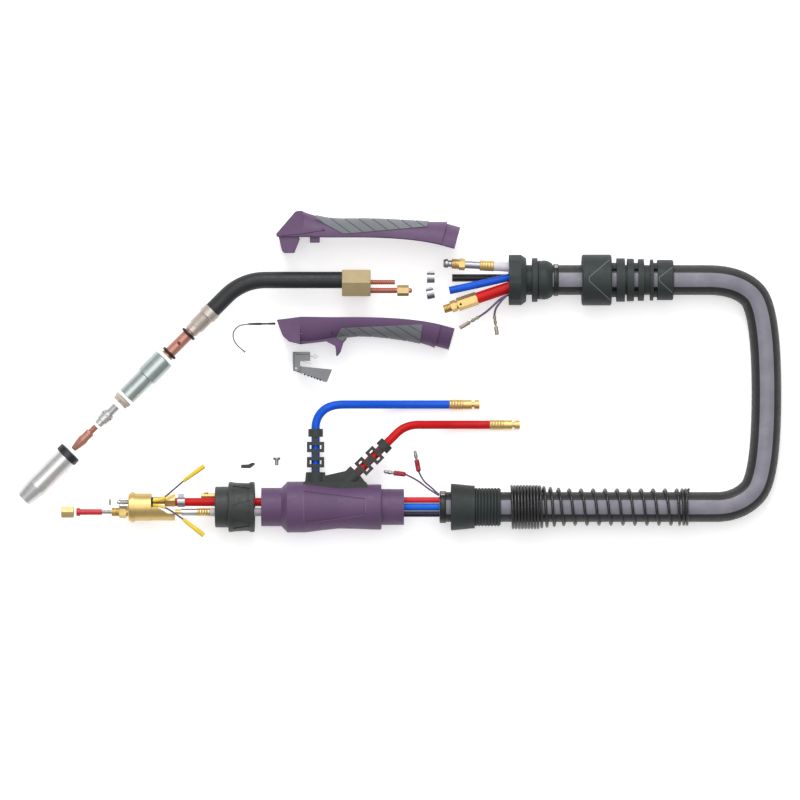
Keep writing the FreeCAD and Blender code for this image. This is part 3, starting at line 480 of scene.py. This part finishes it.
def slab(bm, outline, low, high):
    """A flat plate of an outline in X and Y, from low to high in Z, with eased edges."""
    lower, upper = ([bm.verts.new(Vector((x, y, z)) * MM) for x, y in outline]
                    for z in (low, high))
    made = [bm.faces.new(lower), bm.faces.new(upper)]
    for i in range(len(outline)):
        j = (i + 1) % len(outline)
        made.append(bm.faces.new((lower[i], lower[j], upper[j], upper[i])))
    edges = {edge for face in made for edge in face.edges}
    bmesh.ops.bevel(bm, geom=list(edges), offset=0.35 * MM, segments=2, affect="EDGES",
                    profile=0.6)


def tube_piece(name, points, radius, look, body):
    """A mesh tube along the smooth line of a route, and the line's points in metres."""
    line = curve_piece(name + "_line", points, radius, look, body)
    bm = bmesh.new()
    bm.from_mesh(bpy.data.meshes.new_from_object(line))
    line.data.bevel_depth = 0
    path = [list(v.co) for v in bpy.data.meshes.new_from_object(line).vertices]
    bpy.data.objects.remove(line)
    return mesh_piece(name, bm, look, body), path


def folding_lead(name, points, body, ends, node=None):
    """A thin lead along a route, standing for its CAD node where that is named; the lead and its
    ends each get a mesh of their own. On the real lead the wire gives and the ends don't.

    Flattening them stands in for the room that the cover would need.
    """
    piece, path = tube_piece(name, points, LEAD_RADIUS, "lead_violet", body)
    if node:
        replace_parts(piece, node)
    for part in (piece, *ends):
        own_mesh(part)


# --- cords and what they carry ---------------------------------------------------------
cord_piece("sheathed_cable", CABLE_ROUTE, CABLE_RADIUS, "cable_black", "cable",
           "main_cable")
cord_piece("water_hose_blue", BLUE_ROUTE, HOSE_RADIUS, "hose_blue", "housing",
           "blue_water_hose")
cord_piece("water_hose_red", RED_ROUTE, HOSE_RADIUS, "hose_red", "housing",
           "red_water_hose")
cord_piece("tail_black", [(321.2, 229.2, -8), (352, 229.4, -8), (384, 229.2, -9)], TAIL_RADIUS,
           "hose_black", "cable", "return_hose")
cord_piece("tail_blue", [(318.4, 216.4, 2.5), (350, 223, 2), (384, 231, -0.4)], TAIL_RADIUS,
           "hose_blue", "cable", "blue_hose_tail")


def receptacle(name, start, tip, body):
    """A crimped steel receptacle: wire wings, a waist, and a rolled open box."""
    reach = (Vector(tip) - Vector(start)).length
    place = frame_of(start, Vector(tip) - Vector(start))
    bm = bmesh.new()
    ringed(bm, [(-0.4, 1.2, 1.2), (0, 1.5, 1.5), (3.0, 1.5, 1.5), (3.3, 1.1, 1.0),
                (4.2, 1.1, 1.0), (4.5, 1.5, 1.4), (8.0, 1.5, 1.4), (8.6, 0.9, 0.8),
                (10.0, 0.9, 0.8), (11.0, 1.9, 1.3), (reach - 0.4, 1.9, 1.3),
                (reach, 1.6, 1.0)], place, 24, 0.7)
    for side in (-1, 1):
        for distance in (1.0, 5.5):
            bmesh.ops.create_cube(bm, size=1, matrix=place @ Matrix.Translation(
                Vector((distance + 0.8, side * 1.5, 0.4)) * MM) @ Matrix.Diagonal(
                (1.6 * MM, 0.5 * MM, 1.9 * MM, 1)))
    return mesh_piece(name, bm, "crimp", body)


VIOLET_A = [(380.5, 213, 6), (371, 210, 6.4), (362, 201, 7), (353.6, 193.6, 6.5),
            (347.6, 190, 6)]
VIOLET_B = [(380, 214, 9.5), (374.5, 211, 9.8), (367.5, 203, 9.8), (363.6, 196.5, 10),
            (363.2, 190.8, 10)]
for tag, route, tip, length in (("a", VIOLET_A, (328.8, 179, 6), 40.5),
                                ("b", VIOLET_B, (366, 172, 10), 30)):
    end = receptacle("switch_receptacle_" + tag, route[-1], tip, "cable")
    cord_piece("switch_wire_" + tag, route, SWITCH_WIRE_RADIUS, "lead_violet", "cable",
               "switch_leads" if tag == "a" else None)


def bullet(name, start, middle, tip, body):
    """An insulated bullet end: a pressed flat sleeve and the steel pin in front of it."""
    bm = bmesh.new()
    reach = (Vector(middle) - Vector(start)).length
    place = frame_of(start, Vector(middle) - Vector(start))
    ringed(bm, [(-0.5, 1.2, 1.2), (0, 1.9, 1.8), (0.6, 2.4, 2.2), (3.0, 2.5, 2.3),
                (4.0, 2.5, 1.9), (7.0, 2.5, 1.9), (8.0, 2.5, 2.3), (reach - 0.6, 2.5, 2.4),
                (reach, 2.1, 2.1)], place, 32, 0.6)
    sleeve = mesh_piece(name, bm, "lead_red", body)
    reach = (Vector(tip) - Vector(middle)).length
    pin = bmesh.new()
    lathe(pin, [(-0.3, 1.2), (0.2, 1.3), (1.6, 1.3), (2.2, 1.9), (reach * 0.55, 1.95),
                (reach * 0.62, 1.5), (reach * 0.72, 1.5), (reach * 0.8, 1.7),
                (reach - 0.9, 1.5), (reach - 0.2, 0.9), (reach, 0.3)],
          middle, Vector(tip) - Vector(middle), 28)
    return sleeve, mesh_piece(name + "_pin", pin, "steel_dark", body)


BULLETS = (
    ("a", [(307.9, 11.6, 3), (298, 17.5, 3.6), (286, 27.5, 4), (274.4, 32.7, 4)],
     (262.6, 34.1, 4), (252.8, 35.4, 4), 38.5),
    ("b", [(307.9, 12.4, -2), (300.5, 19.5, -2), (291.5, 26.5, -2), (287.7, 35.6, -2)],
     (285.6, 47.3, -2), (283.8, 56.5, -2), 31),
)
for tag, route, middle, tip, length in BULLETS:
    ends = bullet("bullet_end_" + tag, route[-1], middle, tip, "cable")
    folding_lead("bullet_wire_" + tag, route, "cable", ends,
                 "bullet_leads" if tag == "a" else None)

COUPLERS = (
    ("a", [(21.2, 6.2, 10.5), (31, 7.2, 10.5), (41, 16, 9), (53.1, 26.4, 8)],
     (73.5, 41.2, 8), 38),
    ("b", [(21.2, 2.4, 10.8), (31, 1.4, 12.4), (41, -3.6, 13.4), (53.1, -12.4, 13)],
     (73, -28.2, 11), 36),
)
for tag, route, tip, length in COUPLERS:
    bm = bmesh.new()
    reach = (Vector(tip) - Vector(route[-1])).length
    lathe(bm, [(-0.6, 1.1), (0, 1.5), (1.0, 1.9), (reach * 0.56, 2.3), (reach * 0.6, 2.45),
               (reach - 0.4, 2.45), (reach, 2.1), (reach, 1.5), (reach - 1.2, 1.4)],
          route[-1], Vector(tip) - Vector(route[-1]), 28)
    end = mesh_piece("coupler_end_" + tag, bm, "lead_yellow", "connector")
    short = [route[0], route[1], tuple(Vector(route[1]).lerp(Vector(route[2]), 0.35))]
    sleeve, _ = tube_piece("coupler_sleeve_" + tag, short, LEAD_SLEEVE_RADIUS, "lead_yellow",
                           "connector")
    folding_lead("coupler_wire_" + tag, route, "connector",
                 (end, sleeve), "coupler_leads" if tag == "a" else None)


# --- hook's rubber sleeve and the grommet that the coupler wires leave by ---------------
bm = bmesh.new()
lathe(bm, [(0, 0.75), (1.5, 0.95), (8, 1.2), (12, 1.25), (14, 0.95), (20, 0.9), (22, 1.15),
           (26.5, 1.15), (27, 0.9)], (117.4, 182.85, 9.9), (1, 0.015, 0), 20)
mesh_piece("hook_sleeve", bm, "seal_black", "hook")
bm = bmesh.new()
lathe(bm, [(-0.3, 5.6), (0.4, 6.0), (1.2, 6.0), (1.8, 5.2)], (20.7, 4.2, 7.2), (1, 0, 0), 36)
mesh_piece("wire_grommet", bm, "seal_black", "connector")


# --- the ball under the knuckle nut, and the band clamps on the cable -------------------
BALL = [(388.6, 16.8), (390.7, 16.8), (390.7, 15.05), (401, 15.05), (401, 21.7), (401.3, 22),
        (406.1, 22), (406.4, 21.7), (406.4, 18.4), (407.2, 19.3), (408.6, 19.6), (409.8, 19.2),
        (410.6, 19.2), (411.6, 19.6), (414.4, 19.5), (417, 18.9), (419.4, 17.6), (421.2, 16.3),
        (421.5, 15.1)]
bm = bmesh.new()
lathe(bm, [(x - BALL[0][0], r) for x, r in BALL], (BALL[0][0], HANDLE_Y, 0), (1, 0, 0), 72)
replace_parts(mesh_piece("ball_sleeve", bm, "slate", "cable", 28), "knuckle_ball")
EAR_LEAN = math.radians(56)
EAR_REACH = 16.0                                # from the cable's axis
bands, ears = bmesh.new(), bmesh.new()
for start, end, level in ((422.4, 427.4, HANDLE_Y), (308.7, 315, 0)):
    lathe(bands, [(0, 15.1), (0.1, 15.9), (0.5, 16.1), (end - start - 0.5, 16.1),
                  (end - start - 0.1, 15.9), (end - start, 15.1)],
          (start, level, 0), (1, 0, 0), 72)
    ear = Matrix.Translation(Vector(((start + end) / 2, level + EAR_REACH * math.sin(EAR_LEAN),
                                     EAR_REACH * math.cos(EAR_LEAN))) * MM)
    ear @= Matrix.Rotation(-EAR_LEAN, 4, "X")
    long = (end - start) / 2 - 0.7
    ringed(ears, [(-long, 2.0, 0.4), (-long + 0.4, 2.6, 0.9), (0, 2.7, 1.1),
                  (long - 0.4, 2.6, 0.9), (long, 2.0, 0.4)], ear, 28, 0.45)
bands = mesh_piece("clamp_bands", bands, "seal_black", "cable")
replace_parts(bands, "cable_clamps")
mesh_piece("clamp_ears", ears, "steel_dark", "cable")


# --- seals on the neck, and the lever's grip teeth ---------------------------------------
bm = bmesh.new()
for reach in (33.9, 61.0):
    lathe(bm, [(-1.5, 7.0), (-1.3, 7.7), (-0.75, 8.15), (0, 8.3), (0.75, 8.15), (1.3, 7.7),
               (1.5, 7.0), (1.0, 6.2), (0, 5.9), (-1.0, 6.2)],
          NECK_END + reach * NECK_OUT, NECK_OUT, 56, hollow=True)
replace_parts(mesh_piece("neck_seals", bm, "seal_black", "neck"), "neck_o_rings")
bm = bmesh.new()
for x, y in ((173.7, 132.5), (177.1, 131.4), (180.4, 130.3), (183.6, 129.2), (186.5, 128.1),
             (189.4, 127.1)):
    lathe(bm, [(0, 0.6), (0.3, 0.95), (12.1, 0.95), (12.4, 0.6)], (x, y, -6.2), (0.001, 0, 1), 16)
mesh_piece("lever_teeth", bm, "seal_black", "trigger")


# --- fine lines laid on the CAD surfaces ---------------------------------------------
def surface_of(node):
    """A search tree over a CAD node's faces."""
    mesh = frame["nodes"][node].data
    return BVHTree.FromPolygons([v.co for v in mesh.vertices],
                                [list(p.vertices) for p in mesh.polygons])


def walked(corners, step=1.2, closed=False):
    """Points along straight runs between corners, a step apart."""
    corners = [Vector(c) for c in corners]
    if closed:
        corners.append(corners[0])
    points = []
    for a, b in zip(corners, corners[1:]):
        count = max(1, round((b - a).length / step))
        points += [a.lerp(b, i / count) for i in range(count)]
    return points if closed else points + [corners[-1]]


def bead(bm, centres, radius, closed=False, sides=8):
    """A thin round bead through the centres, joined into bm."""
    rings, count = [], len(centres)
    for i, centre in enumerate(centres):
        before = centres[i - 1] if i or closed else centre
        after = centres[(i + 1) % count] if i < count - 1 or closed else centre
        along = (after - before).normalized()
        across = along.cross(Vector((0, 0.01, 1))).normalized()
        up = across.cross(along)
        rings.append([bm.verts.new(centre + radius * (across * math.cos(a) + up * math.sin(a)))
                      for a in (2 * math.pi * k / sides for k in range(sides))])
    pairs = list(zip(rings, rings[1:])) + ([(rings[-1], rings[0])] if closed else [])
    for low, high in pairs:
        for k in range(sides):
            j = (k + 1) % sides
            bm.faces.new((low[k], low[j], high[j], high[k]))
    if not closed:
        bm.faces.new(rings[0])
        bm.faces.new(rings[-1])


ABOVE_ALL = 0.06                                # height that rays start from, in metres


def laid_lines(name, node, lines, radius, look, body, closed=False, sink=0.3):
    """Beads along lines drawn in X and Y, dropped onto a node from above and below."""
    tree, bm = surface_of(node), bmesh.new()
    for side in (1, -1):
        for corners in lines:
            centres = []
            for point in walked([(x, y, 0) for x, y in corners], closed=closed):
                start = Vector((point.x * MM, point.y * MM, side * ABOVE_ALL))
                hit = tree.ray_cast(start, Vector((0, 0, -side)))[0]
                if hit and hit.z * side > 0:
                    centres.append(hit - Vector((0, 0, side * radius * sink * MM)))
            if len(centres) > 2:
                bead(bm, centres, radius * MM, closed)
    return mesh_piece(name, bm, look, body, 80)


# the small cross hole in the power fitting, drawn as a dark dish on the surface: painted shade
# inside the hole
hole = surface_of("power_fitting").ray_cast(Vector((329.7, 202.7, 60)) * MM,
                                            Vector((0, 0, -1)))
bm = bmesh.new()
lathe(bm, [(-0.6, 0.9), (0.02, 0.9), (0.05, 1.15), (0.16, 1.2), (0.2, 1.0), (0.1, 0.85)],
      hole[0] / MM, hole[1], 24)
mesh_piece("fitting_hole_shade", bm, "seal_black", "cable")

PANEL = [(175.6, 15.5), (232, 8.1), (234, 7.1), (234.7, 5.2), (234.7, -5.4), (234, -7.4),
         (232, -8.4), (178, -15.6), (174.8, -15.2), (173.3, -13), (173.2, 12.6), (173.9, 14.6)]
# the housing panel's raised bead, in a lighter purple: a painted highlight along the bead
laid_lines("housing_panel_bead", "housing", [PANEL], 0.55, "purple_bead_highlight", "housing",
           closed=True, sink=0.6)
laid_lines("support_lines", "front_cable_support",
           [[(478.4, 246.5), (474.5, 243.8), (457.5, 229.3), (457.5, 225.6), (478.1, 207.5)],
            [(540.6, 239), (527.6, 229.3), (527.6, 225.6), (540.6, 214.5)]],
           0.6, "slate_light", "front_support", sink=0.75)
# dark purple lines along the shells' creases: painted shade in the creases
laid_lines("upper_crease_shade", "upper_shell",
           [[(150.5, 270.8), (172, 272.8), (193.5, 276.4)],
            [(190.6, 278.6), (194.2, 276.3), (191.2, 275.2)]],
           0.35, "purple_dark", "upper_shell")
laid_lines("lower_crease_shade", "lower_shell", [[(200.2, 175.2), (202.6, 173.4), (200.6, 172.6)]],
           0.4, "purple_dark", "lower_shell")

# dark lines along the grips' slots, eight slots at one pitch on each half
SLOT_FIRST, SLOT_PITCH, SLOT_COUNT, SLOT_HALF = 194.45, 13.7, 8, 15.8
for half, level, lean in (("upper", 282.1, -11.6), ("lower", 173.9, -9.5)):
    slots = [[(x - SLOT_HALF, level - lean), (x + SLOT_HALF, level + lean)]
             for x in (SLOT_FIRST + SLOT_PITCH * i for i in range(SLOT_COUNT))]
    laid_lines(half + "_grip_lines", half + "_grip", slots, 0.42, "grip_shadow",
               half + "_shell")

# the finger spur's cheeks beside the trigger slot, and the toes of the lower grip
CHEEK = [(169.3, 162.6), (195, 166), (205, 161), (205.2, 151.2), (206.8, 151.2), (211.9, 164.9),
         (214.5, 168.8), (217.5, 170.6), (217.5, 173.2), (205, 172.5), (195, 170.6),
         (169.3, 168.2)]
TOE = [(205.6, 168.8), (211.1, 165.5), (213.4, 167.2), (217.4, 170.6), (217.4, 173),
       (206.2, 172.4)]
cheeks, toes = bmesh.new(), bmesh.new()
for side in (-1, 1):
    slab(cheeks, CHEEK, *sorted((side * 7.5, side * 9.1)))
    slab(toes, TOE, *sorted((side * 8.4, side * 9.9)))
mesh_piece("trigger_cheeks", cheeks, "purple", "lower_shell")
mesh_piece("grip_toes", toes, "grip_grey", "lower_shell")

laid_lines("switch_lines", "switch_body",
           [[(165.2, 155.1), (165.2, 152.6), (178.9, 152.6)], [(163.3, 155.1), (163.3, 136.2)]],
           0.28, "switch_dark", "switch")


# --- spring guard: the wire helix that the CAD's sleeve stands for -----------------------
SPRING_START = 379
SPRING_LENGTH = 180


def spring_points():
    """Points of the guard's wire: close coils, an opening pitch, and a narrow close end.

    The spline runs inside its control points, so they stand out by 1 / cos(half a step),
    and half a step round, which keeps the wire at one distance from the axis.
    """
    wide, narrow, step = 20.95, 17.5, 12
    turns = [3.15] * 9 + [4.1, 6.5, 8.1, 10.8, 11.9] + [12.0] * 8 + [5.2, 3.4, 3.1]
    half = math.pi / step
    scale = (SPRING_LENGTH - 2 * GUARD_WIRE) / sum(turns)
    x, angle = SPRING_START + GUARD_WIRE, half
    points = [(x, wide, 0.0)]
    for index, pitch in enumerate(turns):
        move = pitch * scale / step
        for i in range(step):
            part = min(1.0, max(0.0, (index + i / step - 8.5) / 4.5))
            radius = (wide + (narrow - wide) * part) / math.cos(half)
            points.append((x + move / 2, radius * math.cos(angle), radius * math.sin(angle)))
            x += move
            angle += 2 * half
    return points + [(x, narrow, 0.0)]


line = curve_piece("spring_line", spring_points(), GUARD_WIRE, "spring_black",
                   "spring_guard")
line.data.resolution_u = 3
line.data.bevel_resolution = 4
bm = bmesh.new()
bm.from_mesh(bpy.data.meshes.new_from_object(line))
bpy.data.objects.remove(line)
spring = mesh_piece("guard_wire", bm, "spring_black", "spring_guard", 60)
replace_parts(spring, "spring_guard")


# --- floor, light and camera ---------------------------------------------------------
# In metres, but for the lens and its sensor, which Blender takes in millimetres.
FLOOR_HALF = 6.0
FLOOR_GLOW = 0.4
WORLD_LIGHT = 0.42
CENTRE = Vector((0.269, 0.107, 0.0))            # the middle of the picture
LENS = 300.0
SENSOR = 36.0
FRAME_WIDTH = 0.8
CLIP_END = 50.0


def floor_piece():
    """The plain pale floor, with a faint glow of its own."""
    mesh = bpy.data.meshes.new("floor")
    corners = [(x * FLOOR_HALF, y * FLOOR_HALF, FLOOR_Z)
               for x, y in ((-1, -1), (1, -1), (1, 1), (-1, 1))]
    mesh.from_pydata(corners, [], [(0, 1, 2, 3)])
    m = Nodes("floor_white")
    m.colour(m.tones(m.noise(3.0), (0.93, 0.93, 0.93, 1), (0.95, 0.95, 0.95, 1)))
    m.shader.inputs["Roughness"].default_value = 0.9
    m.shader.inputs["Emission Color"].default_value = (1, 1, 1, 1)
    m.shader.inputs["Emission Strength"].default_value = FLOOR_GLOW
    mesh.materials.append(m.material)
    piece = bpy.data.objects.new("floor", mesh)
    scene.collection.objects.link(piece)


def area_light(name, offset, size, power):
    """A soft round lamp that looks at the middle of the picture."""
    place = CENTRE + Vector(offset)
    data = bpy.data.lights.new(name, "AREA")
    data.shape = "DISK"
    data.size = size
    data.energy = power
    lamp = bpy.data.objects.new(name, data)
    lamp.location = place
    lamp.rotation_euler = (CENTRE - place).to_track_quat("-Z", "Y").to_euler()
    scene.collection.objects.link(lamp)


floor_piece()
area_light("key", (-0.2, 3.0, 2.9), 2.6, 105)
area_light("top", (0.0, 0.6, 4.2), 3.6, 70)
world = bpy.data.worlds.new("studio")
scene.world = world
world.use_nodes = True
world.node_tree.nodes["Background"].inputs["Color"].default_value = (1, 1, 1, 1)
world.node_tree.nodes["Background"].inputs["Strength"].default_value = WORLD_LIGHT
scene.view_settings.view_transform = "Standard"

camera_data = bpy.data.cameras.new("camera")
camera_data.lens = LENS
camera_data.sensor_width = SENSOR
camera_data.clip_end = CLIP_END
camera = bpy.data.objects.new("camera", camera_data)
camera.location = CENTRE + Vector((0, 0, FRAME_WIDTH * LENS / SENSOR))
scene.collection.objects.link(camera)
scene.camera = camera
